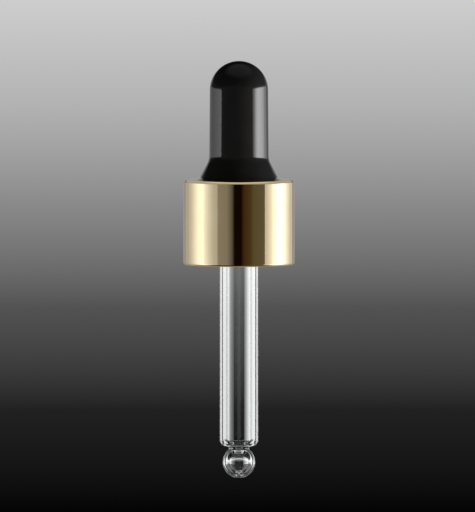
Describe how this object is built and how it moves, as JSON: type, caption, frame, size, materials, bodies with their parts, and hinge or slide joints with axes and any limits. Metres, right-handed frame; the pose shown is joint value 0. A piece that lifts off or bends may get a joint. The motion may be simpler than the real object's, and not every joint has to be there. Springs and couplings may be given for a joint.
{
  "type": "medicine dropper",
  "caption": "Dropper closure for a small medicine bottle: black rubber bulb, gold screw collar and a straight glass pipette with a ball tip.",
  "frame": {"origin": "on the dropper's axis, in the plane where the bottle's rim meets the sealing washer", "axes": "+Z runs along the axis towards the bulb, -Z towards the pipette's ball tip; X and Y are alike because the object is round"},
  "size_m": [0.0204, 0.0204, 0.0764],
  "materials": {
    "black_rubber": "smooth glossy moulded rubber",
    "gold_aluminium": "polished, pale gold anodised",
    "white_plastic": "moulded polypropylene",
    "washer_foam": "closed-cell polyethylene foam",
    "clear_glass": "clear, fire-polished"
  },
  "bodies": {
    "collar": {"collar_shell": "gold_aluminium", "threaded_cap": "white_plastic", "sealing_washer": "washer_foam"},
    "bulb": {"bulb": "black_rubber"},
    "pipette": {"pipette": "clear_glass"}
  },
  "joints": [
    {"name": "bulb_squeeze", "type": "slide", "parent": "collar", "child": "bulb", "axis": [0, 0, -1], "range_m": [0, 0.005], "stiffness_N_per_m": 800, "deforming": ["bulb"]},
    {"name": "pipette_pull", "type": "slide", "parent": "collar", "child": "pipette", "axis": [0, 0, -1], "range_m": [0, 0.024]}
  ]
}
